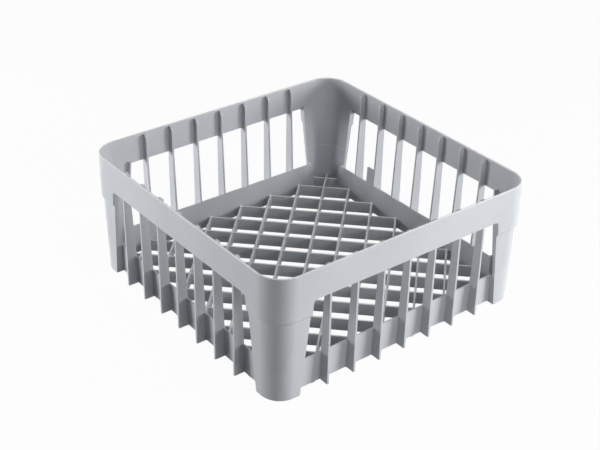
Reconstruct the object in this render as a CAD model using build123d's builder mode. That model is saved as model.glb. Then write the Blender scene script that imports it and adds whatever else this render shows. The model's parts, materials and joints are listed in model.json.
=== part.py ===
"""Dishwasher glass rack: an open square basket, moulded in one piece.

A plain rim band and four hollow corner posts carry upright fins on every side.
A low skirt joins the fins near the foot, and the floor is a lattice of ribs
laid at 45 degrees, with a small eight-sided boss where two ribs cross.
The origin is at the middle of the foot plane, and +Z points up.
"""
import os
from math import radians, sqrt, tan

from build123d import *

# Outside of the rack
rim_width = 350.0
rack_height = 150.0
corner_radius = 29.0
rim_half = rim_width / 2
corner_centre = rim_half - corner_radius

# Rim band
band_height = 35.0
band_wall = 2.6
lip_chamfer = 0.8
band_foot = rack_height - band_height

# Corner posts: flush with the band at the shoulder, stepped in below the waist
foot_inset = 5.0
waist_inset = 2.5
shoulder_drop = 17.0
step_height = 3.0
step_blend = 1.5
inner_step_lead = 15.0
inner_step_height = 38.0
inner_blend = 340.0
post_half_foot = rim_half - foot_inset
post_half_waist = rim_half - waist_inset
shoulder_height = band_foot - shoulder_drop
waist_height = shoulder_height - step_height
inner_step_foot = waist_height - inner_step_lead
inner_step_top = inner_step_foot + inner_step_height

# Windows between the posts: wider at the foot, with a sloping top edge
post_width_foot = 36.9
post_width_band = 48.8
window_round = 4.0
window_draft = 15.0
edge_half_foot = rim_half - post_width_foot
edge_half_band = rim_half - post_width_band

# The hollow for the glasses: square, and wider towards the band
wall_depth_foot = 15.0
wall_depth_band = 9.4
hollow_half_foot = rim_half - wall_depth_foot
hollow_half_band = rim_half - wall_depth_band

# Upright fins
fins_per_side = 7
fin_pitches_across = 10
fin_thickness = 2.4
fin_setback_foot = 0.7
fin_setback_top = 0.2
fin_drop_at_band = 1.6
fin_drop_inside = 2.2
fin_top_round = 5.0
fin_pitch = rim_width / fin_pitches_across
fin_outer_foot = rim_half - fin_setback_foot
fin_outer_top = rim_half - fin_setback_top
fin_top_at_band = rack_height - fin_drop_at_band
fin_top_inside = rack_height - fin_drop_inside

# Skirt between the fins, raised off the foot plane like the fins
side_foot = 1.8
skirt_height = 38.0
skirt_wall = 2.0

# Flanges along the post edges, with deep returns to the ends of the skirt
flange_depth = 7.5
flange_thickness = 2.2
flange_rise = 4.0
flange_top = band_foot + flange_rise

# Lattice floor
cells_per_side = 7
rib_height = 15.0
rib_thickness = 2.3
boss_diameter = 4.4
boss_sides = 8
rib_pitch = 2 * hollow_half_foot / cells_per_side / sqrt(2)
ribs_each_way = 2 * cells_per_side - 1

# Ribs in the feet of the posts
post_radius_foot = post_half_foot - corner_centre
corner_gap = 9.0
corner_rib_reach = corner_centre * sqrt(2) + post_radius_foot - band_wall - corner_gap

# Tab that stands on the skirt of one side, beside a fin
tab_width = 13.5
tab_height = 21.0
tab_fin = 2 * fin_pitch
tab_end = tab_fin + tab_width


def hollow_half(z):
    """Half width of the hollow at height z, up to the band."""
    return hollow_half_foot + (hollow_half_band - hollow_half_foot) * z / band_foot


def post_half(z):
    """Half width over the posts at height z, up to the waist."""
    return post_half_foot + (post_half_waist - post_half_foot) * z / waist_height


def edge_half(z):
    """Distance of a post's edge from the middle of its side at height z."""
    return edge_half_foot + (edge_half_band - edge_half_foot) * z / band_foot


def wall_section(y):
    """Section through the rim band and a post, in the plane at y."""
    inner_top_corner = (rim_half - band_wall, inner_step_top)
    inner_foot_corner = (post_half(inner_step_foot) - band_wall, inner_step_foot)
    with BuildSketch(Plane.XZ.offset(-y)) as section:
        with BuildLine():
            Polyline(
                (post_half_foot, 0),
                (post_half_waist, waist_height),
                (rim_half, shoulder_height),
                (rim_half, rack_height),
                (rim_half - band_wall, rack_height),
                inner_top_corner,
                inner_foot_corner,
                (post_half_foot - band_wall, 0),
                close=True,
            )
        make_face()
        step = section.vertices().filter_by_position(Axis.Y, waist_height, shoulder_height)
        fillet(step, step_blend)
        fillet(section.vertices().sort_by_distance(inner_top_corner)[0], inner_blend)
        fillet(section.vertices().sort_by_distance(inner_foot_corner)[0], inner_blend)
        chamfer(section.vertices().group_by(Axis.Y)[-1], lip_chamfer)
    return section.sketch


def window_section(distance):
    """Outline of a side's window at a distance from the middle of the rack."""
    top = band_foot + (rim_half - distance) * tan(radians(window_draft))
    with BuildSketch(Plane.YZ.offset(distance)) as section:
        with BuildLine():
            Polyline(
                (-edge_half(0), 0),
                (edge_half(0), 0),
                (edge_half(top), top),
                (-edge_half(top), top),
                close=True,
            )
        make_face()
        fillet(section.vertices().group_by(Axis.Y)[-1], window_round)
    return section.sketch


def rectangle_at(z, inner, outer, start, end):
    """Rectangle at height z, from inner to outer along X and from start to end along Y."""
    with BuildSketch(Plane.XY.offset(z)) as section:
        with Locations(((inner + outer) / 2, (start + end) / 2)):
            Rectangle(outer - inner, end - start)
    return section.sketch


# Straight run of the wall along the +X side
with BuildPart() as wall_run:
    extrude(wall_section(0), amount=corner_centre, both=True)

# Rounded corner that joins two runs
with BuildPart() as wall_corner:
    corner_axis = Axis((corner_centre, corner_centre, 0), (0, 0, 1))
    revolve(wall_section(corner_centre), axis=corner_axis, revolution_arc=90)

# Wide window that leaves the posts and the band of a side
with BuildPart() as window:
    loft([window_section(hollow_half_foot), window_section(rim_half + band_wall)], ruled=True)

# One upright fin, with a rounded top inside the band
with BuildPart() as fin:
    with BuildSketch(Plane.XZ):
        with BuildLine():
            Polyline(
                (hollow_half(side_foot), side_foot),
                (fin_outer_foot, side_foot),
                (fin_outer_top, fin_top_at_band),
                (hollow_half_band, fin_top_inside),
                (hollow_half_band, band_foot),
                close=True,
            )
        make_face()
        inner_top = vertices().group_by(Axis.Y)[-2]
        fillet(inner_top, fin_top_round)
    extrude(amount=fin_thickness / 2, both=True)

# Edge of one post: a flange up to the band, and a deep return behind the skirt
with BuildPart() as post_edge:
    flange_levels = (
        (0, post_half_foot),
        (waist_height, post_half_waist),
        (shoulder_height, rim_half),
        (flange_top, rim_half),
    )
    flange = []
    for z, half in flange_levels:
        outer = half - band_wall / 2
        edge = edge_half(z)
        flange.append(rectangle_at(z, rim_half - flange_depth, outer, edge, edge + flange_thickness))
    loft(flange, ruled=True)
    deep_return = []
    for z in (0, skirt_height):
        outer = post_half(z) - band_wall / 2
        edge = edge_half(z)
        deep_return.append(rectangle_at(z, hollow_half(z), outer, edge, edge + flange_thickness))
    loft(deep_return, ruled=True)

# One side: the skirt, its row of fins and its two post edges
with BuildPart() as side_wall:
    skirt = []
    for z in (side_foot, skirt_height):
        end = edge_half(z) + flange_thickness / 2
        skirt.append(rectangle_at(z, hollow_half(z), hollow_half(z) + skirt_wall, -end, end))
    loft(skirt, ruled=True)
    with GridLocations(0, fin_pitch, 1, fins_per_side):
        add(fin.part)
    add(post_edge.part)
    mirror(post_edge.part, about=Plane.XZ)

# Lattice floor
with BuildPart() as floor:
    with BuildSketch():
        floor_width = 2 * hollow_half_foot + skirt_wall
        with PolarLocations(0, 2, start_angle=45, angular_range=180):
            with GridLocations(0, rib_pitch, 1, ribs_each_way):
                Rectangle(2 * floor_width, rib_thickness)
        with Locations(Location((0, 0, 0), (0, 0, 45))):
            with GridLocations(rib_pitch, rib_pitch, ribs_each_way, ribs_each_way):
                RegularPolygon(
                    boss_diameter / 2,
                    boss_sides,
                    major_radius=False,
                    rotation=180 / boss_sides,
                )
        Rectangle(floor_width, floor_width, mode=Mode.INTERSECT)
    extrude(amount=rib_height)

# Ribs that carry the floor into the corner posts
with BuildPart() as corner_ribs:
    with BuildSketch():
        post_middle = 2 * post_half_foot - band_wall
        with PolarLocations(corner_rib_reach, 4, start_angle=45):
            Rectangle(rib_thickness, rim_half)
            Rectangle(2 * rib_pitch, rib_thickness)
        RectangleRounded(
            post_middle,
            post_middle,
            post_radius_foot - band_wall / 2,
            mode=Mode.INTERSECT,
        )
    extrude(amount=rib_height)

with BuildPart() as glass_rack:
    # Rim band and posts: a stepped square tube, with a window in each side
    with PolarLocations(0, 4):
        add(wall_run.part)
        add(wall_corner.part)
    with PolarLocations(0, 4):
        add(window.part, mode=Mode.SUBTRACT)

    # Sides and floor
    with PolarLocations(0, 4):
        add(side_wall.part)
    add(floor.part)
    add(corner_ribs.part)

    # Tab on the +X side
    tab = []
    for z in (skirt_height - skirt_wall, skirt_height + tab_height):
        tab.append(rectangle_at(z, hollow_half(z), hollow_half(z) + skirt_wall, tab_fin, tab_end))
    loft(tab, ruled=True)

os.makedirs("parts", exist_ok=True)
glass_rack.part.label = "glass_rack"
export_step(glass_rack.part, "parts/glass_rack.step")
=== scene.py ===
# %% [markdown]
# # A dishwasher glass rack in grey polypropylene
#
# The rack is one injection moulding: a square rim band, four hollow corner posts, rows of thin
# upright fins, a low skirt and a lattice floor. The frame brings in its measured shape. This lesson
# softens that shape as a mould would, gives it a satin plastic finish, and photographs it on white.

# %% Bring in the measured rack
import json
import math

import bmesh
import bpy
from mathutils import Matrix, Vector


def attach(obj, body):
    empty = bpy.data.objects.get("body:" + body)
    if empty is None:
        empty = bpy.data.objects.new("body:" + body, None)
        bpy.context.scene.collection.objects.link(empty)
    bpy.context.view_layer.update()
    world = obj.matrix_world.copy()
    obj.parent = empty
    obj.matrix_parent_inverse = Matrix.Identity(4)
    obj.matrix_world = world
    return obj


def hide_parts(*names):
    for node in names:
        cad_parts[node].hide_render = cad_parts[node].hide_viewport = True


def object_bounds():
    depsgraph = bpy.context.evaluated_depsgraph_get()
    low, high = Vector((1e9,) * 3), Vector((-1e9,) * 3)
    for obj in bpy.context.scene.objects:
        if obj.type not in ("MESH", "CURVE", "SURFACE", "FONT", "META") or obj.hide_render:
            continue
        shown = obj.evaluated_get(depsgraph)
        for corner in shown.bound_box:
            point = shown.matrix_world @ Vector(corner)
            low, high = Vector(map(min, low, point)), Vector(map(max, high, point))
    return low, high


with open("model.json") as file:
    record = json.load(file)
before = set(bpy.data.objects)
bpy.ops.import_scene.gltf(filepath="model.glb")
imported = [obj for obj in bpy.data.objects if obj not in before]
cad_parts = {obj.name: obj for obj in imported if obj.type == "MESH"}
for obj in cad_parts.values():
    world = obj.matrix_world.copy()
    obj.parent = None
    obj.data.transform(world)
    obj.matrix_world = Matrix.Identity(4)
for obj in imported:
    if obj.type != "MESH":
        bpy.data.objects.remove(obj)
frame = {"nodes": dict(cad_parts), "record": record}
cad_box = [list(corner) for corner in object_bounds()]
print("measured rack, lowest and highest corner:", cad_box)

# %% [markdown]
# ## The moulding
#
# No edge of a moulded rack is razor sharp: the cutter that made the mould leaves a small radius, and
# that thin round is what catches the light along the rim and the fins. The rack could be built again
# from boxes, but its measured shape is already right. So a copy of it is taken, and its loose
# triangles are merged into one skin whose edges can be rounded.

# %% Copy the rack and merge its skin
merge_distance = 0.00002
bpy.ops.object.select_all(action="DESELECT")
measured_rack = frame["nodes"]["glass_rack"]
measured_rack.select_set(True)
bpy.context.view_layer.objects.active = measured_rack
bpy.ops.object.duplicate()
rack = bpy.context.view_layer.objects.active
rack.name = "moulded_rack"
bpy.ops.mesh.customdata_custom_splitnormals_clear()
bpy.ops.object.mode_set(mode="EDIT")
bpy.ops.mesh.select_all(action="SELECT")
bpy.ops.mesh.remove_doubles(threshold=merge_distance)
bpy.ops.object.mode_set(mode="OBJECT")
print("merged skin:", len(rack.data.vertices), "points,", len(rack.data.polygons), "faces")

# %% [markdown]
# ## The rounded edges
#
# The floor ribs leave the mould most easily when they thin towards the top, so on the real rack each
# one ends in a narrow, well rounded crest that shows as a thin light line. The measured ribs are
# square there. So their top edges, picked by height, get a wide bevel, and every other outer edge
# gets the small radius of the mould. Inner corners stay as they are, since a bevel there would run
# into the next one where a fin meets the band. So do the very short edges, as on the round of a fin's
# top or where a post steps in, since a bevel would fold over itself there. One bevel does it all,
# weighted edge by edge.

# %% Mark the edges to round
mounts = {mount["name"]: mount for mount in frame["record"]["mounts"]}
rib_top = mounts["glass_floor"]["pos_m"][2]
height_slack = 0.00001
crest_round = 0.0009
edge_round = 0.00025
shortest_edge = 0.001
sharp_angle = math.radians(32)
skin_mesh = bmesh.new()
skin_mesh.from_mesh(rack.data)
weight = skin_mesh.edges.layers.float.new("bevel_weight_edge")
crest_edges = 0
outer_edges = 0
for edge in skin_mesh.edges:
    if edge.calc_length() < shortest_edge or edge.calc_face_angle_signed(0) < sharp_angle:
        continue
    if all(abs(end.co.z - rib_top) < height_slack for end in edge.verts):
        edge[weight] = 1
        crest_edges += 1
    else:
        edge[weight] = edge_round / crest_round
        outer_edges += 1
skin_mesh.to_mesh(rack.data)
skin_mesh.free()
print("rib top edges:", crest_edges, "other outer edges:", outer_edges)

# %% Round them and keep the flat faces flat
smooth_angle = math.radians(40)
soft_edges = rack.modifiers.new("soft edges", "BEVEL")
soft_edges.width = crest_round
soft_edges.segments = 3
soft_edges.limit_method = "WEIGHT"
soft_edges.use_clamp_overlap = False
bpy.ops.object.modifier_apply(modifier="soft edges")
bpy.ops.object.shade_smooth_by_angle(angle=smooth_angle)
flat_faces = rack.modifiers.new("flat faces stay flat", "WEIGHTED_NORMAL")
flat_faces.keep_sharp = True
flat_faces.weight = 100
bpy.ops.object.modifier_apply(modifier="flat faces stay flat")
rack.data.calc_loop_triangles()
print("rounded rack:", len(rack.data.loop_triangles), "triangles")

# %% Let the moulding stand for the measured rack
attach(rack, "root")
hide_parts("glass_rack")
print(rack.name, "stands for", measured_rack.name)

# %% [markdown]
# ## The plastic
#
# Polypropylene for a dishwasher is coloured right through, here a light grey with a little blue.
# Its skin is satin: the mould is fine-blasted, so the gloss is broken by a grain that can just be
# felt. The melt also cools unevenly and leaves soft clouds in the tone. A flat grey would look like
# paper, so noise drives the tone, the roughness and a shallow bump, each at its own scale.

# %% Start the plastic's material
plastic = bpy.data.materials.new("satin polypropylene")
plastic.use_nodes = True
nodes = plastic.node_tree.nodes
links = plastic.node_tree.links
skin = nodes["Principled BSDF"]
skin.inputs["IOR"].default_value = 1.49
place = nodes.new("ShaderNodeTexCoord")
rack.data.materials.clear()
rack.data.materials.append(plastic)
print("the rack is moulded in", plastic.name)


# %% Soft clouds in the tone
def plastic_noise(scale, detail):
    """The output of a noise that lies on the rack's own coordinates."""
    noise = nodes.new("ShaderNodeTexNoise")
    noise.inputs["Scale"].default_value = scale
    noise.inputs["Detail"].default_value = detail
    links.new(place.outputs["Object"], noise.inputs["Vector"])
    return noise.outputs["Fac"]


dark_cloud = (0.475, 0.497, 0.525, 1)
light_cloud = (0.520, 0.540, 0.565, 1)
noise_low = 0.3
noise_high = 0.7
tone = nodes.new("ShaderNodeValToRGB")
tone.color_ramp.elements[0].position = noise_low
tone.color_ramp.elements[0].color = dark_cloud
tone.color_ramp.elements[1].position = noise_high
tone.color_ramp.elements[1].color = light_cloud
links.new(plastic_noise(scale=14, detail=3), tone.inputs["Fac"])
links.new(tone.outputs["Color"], skin.inputs["Base Color"])
print("tone from", dark_cloud[:3], "to", light_cloud[:3])

# %% Uneven satin
least_rough = 0.42
most_rough = 0.54
satin = nodes.new("ShaderNodeMapRange")
satin.inputs["From Min"].default_value = noise_low
satin.inputs["From Max"].default_value = noise_high
satin.inputs["To Min"].default_value = least_rough
satin.inputs["To Max"].default_value = most_rough
links.new(plastic_noise(scale=60, detail=4), satin.inputs["Value"])
links.new(satin.outputs["Result"], skin.inputs["Roughness"])
print("roughness from", least_rough, "to", most_rough)

# %% Blasted grain
grain_depth = 0.0001
grain_bump = nodes.new("ShaderNodeBump")
grain_bump.inputs["Strength"].default_value = 0.25
grain_bump.inputs["Distance"].default_value = grain_depth
links.new(plastic_noise(scale=1500, detail=2), grain_bump.inputs["Height"])
links.new(grain_bump.outputs["Normal"], skin.inputs["Normal"])
print("grain depth:", grain_depth, "m")

# %% [markdown]
# ## The painted highlight on the tops
#
# Light from above makes the narrow upper faces of the floor ribs and the rim look lighter than the
# walls. That light is painted into their colour as a painted highlight. Here each face of the skin
# carries a number, 1 on those tops and 0 elsewhere, and the material mixes by it.


# %% Two helpers: mark some faces, and tint by a mark
def face_mark(name, belongs):
    """Marks each face with 1 or 0 by belongs(face); returns the mark as an output in the plastic."""
    numbers = rack.data.attributes.new(name, "FLOAT", "FACE")
    marked = [face.index for face in rack.data.polygons if belongs(face)]
    for index in marked:
        numbers.data[index].value = 1
    reader = nodes.new("ShaderNodeAttribute")
    reader.attribute_name = name
    print(name, "faces:", len(marked))
    return reader.outputs["Fac"]


def tint(mark, colour):
    """Lays a colour over the plastic's present tone where the mark is 1."""
    base = skin.inputs["Base Color"]
    mix = nodes.new("ShaderNodeMix")
    mix.data_type = "RGBA"
    mix.inputs["B"].default_value = colour
    links.new(mark, mix.inputs["Factor"])
    links.new(base.links[0].from_socket, mix.inputs["A"])
    links.new(mix.outputs["Result"], base)


# %% Mark the rib and rim tops and paint a highlight on them
rim_top = cad_box[1][2]
highlight_depth = 0.0004
least_upward = 0.6
# The tops' lighter colour is a painted highlight, for the light that falls on them from above.
painted_highlight_tone = (0.76, 0.78, 0.80, 1)


def is_highlighted_top(face):
    """True for an upper face of a floor rib or of the rim."""
    on_top = any(abs(face.center.z - height) < highlight_depth for height in (rib_top, rim_top))
    return on_top and face.normal.z > least_upward


# Paints the highlight onto the marked upper faces.
tint(face_mark("painted_top_highlight", is_highlighted_top), painted_highlight_tone)

# %% [markdown]
# ## The insert line and its painted highlight
#
# A steel insert shapes the hollow of each post, and where it meets the next piece of the mould the
# plastic keeps a faint line across the inside of the post, whose edge catches the light. The groove
# gets
# no shape of its own: its light edge is painted as a lighter line, a painted highlight. The faces
# inside the posts are marked, and the material draws the line by height.

# %% Mark the inside of the posts
post_reach = 0.135


def is_in_post(face):
    """True for a face in a corner of the rack that looks towards the middle."""
    centre = face.center
    looks_in = face.normal.x * centre.x + face.normal.y * centre.y < 0
    return looks_in and min(abs(centre.x), abs(centre.y)) > post_reach


in_post = face_mark("in_post", is_in_post)

# %% Paint the line's highlight
line_height = 0.058
line_half = 0.0004
# The line's lighter colour is a painted highlight: the light caught by the groove's edge.
line_highlight_tone = (0.62, 0.64, 0.66, 1)
apart = nodes.new("ShaderNodeSeparateXYZ")
links.new(place.outputs["Object"], apart.inputs["Vector"])
near_line = nodes.new("ShaderNodeMath")
near_line.operation = "COMPARE"
near_line.inputs[1].default_value = line_height
near_line.inputs[2].default_value = line_half
links.new(apart.outputs["Z"], near_line.inputs[0])
line = nodes.new("ShaderNodeMath")
line.operation = "MULTIPLY"
links.new(near_line.outputs[0], line.inputs[0])
links.new(in_post, line.inputs[1])
tint(line.outputs[0], line_highlight_tone)
print("line at height", line_height, "m; plastic nodes in all:", len(nodes))

# %% [markdown]
# ## The white table
#
# The rack stands on a white sheet that runs out of the picture. A sheet lit to pure white would
# throw a flood of light back up into the rack and wash out its shaded faces. So the sheet shows
# white to the camera through a Light Path node, keeps a trace of its real shading for the rack's
# shadow, and gives back only a modest light.

# %% Lay the sheet
sheet_width = 12
sheet_height = cad_box[0][2]
bpy.ops.object.select_all(action="DESELECT")
bpy.ops.mesh.primitive_plane_add(size=sheet_width, location=(0, 0, sheet_height))
sheet = bpy.context.view_layer.objects.active
sheet.name = "white_sheet"
bpy.ops.object.transform_apply(location=True, rotation=True, scale=True)
print("sheet laid at height", sheet_height)


# %% A helper: one look for the eye, another for the light
def seen_directly(tree):
    """A 0 or 1 output: 1 for rays from the camera, from a gloss or through glass."""
    path = tree.nodes.new("ShaderNodeLightPath")
    seen = path.outputs["Is Camera Ray"]
    for ray in ("Is Glossy Ray", "Is Transmission Ray"):
        either = tree.nodes.new("ShaderNodeMath")
        either.operation = "MAXIMUM"
        tree.links.new(seen, either.inputs[0])
        tree.links.new(path.outputs[ray], either.inputs[1])
        seen = either.outputs[0]
    return seen


def show_and_light(tree, shown, lighting, output):
    """Shows one shader where it is seen directly, and lights the rack with the other."""
    choice = tree.nodes.new("ShaderNodeMixShader")
    tree.links.new(seen_directly(tree), choice.inputs["Fac"])
    tree.links.new(lighting.outputs[0], choice.inputs[1])
    tree.links.new(shown.outputs[0], choice.inputs[2])
    surface = tree.nodes.new(output)
    tree.links.new(choice.outputs[0], surface.inputs["Surface"])


# %% Colour the sheet
bounce_grey = 0.34
shown_white = 0.9
shadow_share = 0.05
paper = bpy.data.materials.new("white paper")
paper.use_nodes = True
paper_nodes = paper.node_tree.nodes
paper_links = paper.node_tree.links
paper_nodes.clear()
bounce_paper = paper_nodes.new("ShaderNodeBsdfDiffuse")
bounce_paper.inputs["Color"].default_value = (bounce_grey, bounce_grey, bounce_grey, 1)
white_paper = paper_nodes.new("ShaderNodeBsdfDiffuse")
white_paper.inputs["Color"].default_value = (shown_white, shown_white, shown_white, 1)
glow = paper_nodes.new("ShaderNodeEmission")
shown_paper = paper_nodes.new("ShaderNodeMixShader")
shown_paper.inputs["Fac"].default_value = shadow_share
paper_links.new(glow.outputs[0], shown_paper.inputs[1])
paper_links.new(white_paper.outputs[0], shown_paper.inputs[2])
show_and_light(paper.node_tree, shown_paper, bounce_paper, "ShaderNodeOutputMaterial")
sheet.data.materials.append(paper)
print("sheet gives back", bounce_grey, "of the light")

# %% [markdown]
# ## The light
#
# Two large soft boxes stand low on the left and on the right, nearly at right angles to the camera's
# view. Each lights one pair of walls, and the corner that faces the camera stays darker between them,
# which shows the round of the post. A weaker box in front fills the near corner and the wall to its
# right, and one overhead draws the thin light lines along the rim and the rib tops. One small lamp
# would be simpler, but hard shadows of the fins would lie across the floor. The room itself adds
# almost nothing.

# %% Fill the room with a dim white
dim_strength = 0.03
room = bpy.data.worlds.new("white room")
bpy.context.scene.world = room
room.use_nodes = True
room_nodes = room.node_tree.nodes
room_nodes.clear()
dim = room_nodes.new("ShaderNodeBackground")
dim.inputs["Strength"].default_value = dim_strength
bright = room_nodes.new("ShaderNodeBackground")
for shade in (dim, bright):
    shade.inputs["Color"].default_value = (1, 1, 1, 1)
show_and_light(room.node_tree, bright, dim, "ShaderNodeOutputWorld")
print("room strength:", dim_strength)


# %% Stand the soft boxes
def soft_box(name, turn, height_angle, distance, size, watts):
    """A square soft box aimed at the rack; turn is counted from +X towards +Y."""
    ring = distance * math.cos(math.radians(height_angle))
    spot = Vector((
        ring * math.cos(math.radians(turn)),
        ring * math.sin(math.radians(turn)),
        distance * math.sin(math.radians(height_angle)),
    ))
    bpy.ops.object.light_add(type="AREA", location=spot)
    lamp = bpy.context.view_layer.objects.active
    lamp.name = name
    lamp.data.size = size
    lamp.data.energy = watts
    lamp.rotation_euler = (-spot).to_track_quat("-Z", "Y").to_euler()
    print(name, "at", [round(part, 3) for part in spot], "with", watts, "W")


soft_box("right_box", turn=-45, height_angle=12, distance=1.75, size=0.72, watts=28.3)
soft_box("left_box", turn=138, height_angle=12, distance=1.45, size=0.6, watts=19.3)
soft_box("front_box", turn=-90, height_angle=22, distance=1.8, size=0.75, watts=9.4)
soft_box("top_box", turn=-90, height_angle=80, distance=1.8, size=0.75, watts=6.5)

# %% [markdown]
# ## The camera
#
# A product photograph is taken with a long lens from above one corner. The camera's place was found
# by laying the rack's edges over the photograph, and it is tipped sideways by about one degree. A
# Track To constraint would keep it level, so its three axes are worked out here, with the tip.

# %% Set up the camera
bpy.ops.object.camera_add()
camera = bpy.context.view_layer.objects.active
camera.name = "photo_camera"
camera.data.sensor_fit = "HORIZONTAL"
camera.data.sensor_width = 36
camera.data.lens = 76.365
stand = Vector((-0.7736, -0.9731, 0.812))
aim = Vector((-0.0146, -0.0078, 0.0806))
tip = math.radians(1.0656)
forward = (aim - stand).normalized()
level = forward.cross(Vector((0, 0, 1))).normalized()
upright = level.cross(forward)
across = level * math.cos(tip) + upright * math.sin(tip)
top = upright * math.cos(tip) - level * math.sin(tip)
turned = Matrix((across, top, -forward)).transposed()
camera.matrix_world = Matrix.Translation(stand) @ turned.to_4x4()
bpy.context.scene.camera = camera
bpy.context.scene.view_settings.view_transform = "Standard"
print("camera", round((aim - stand).length, 3), "m from the rack's middle")
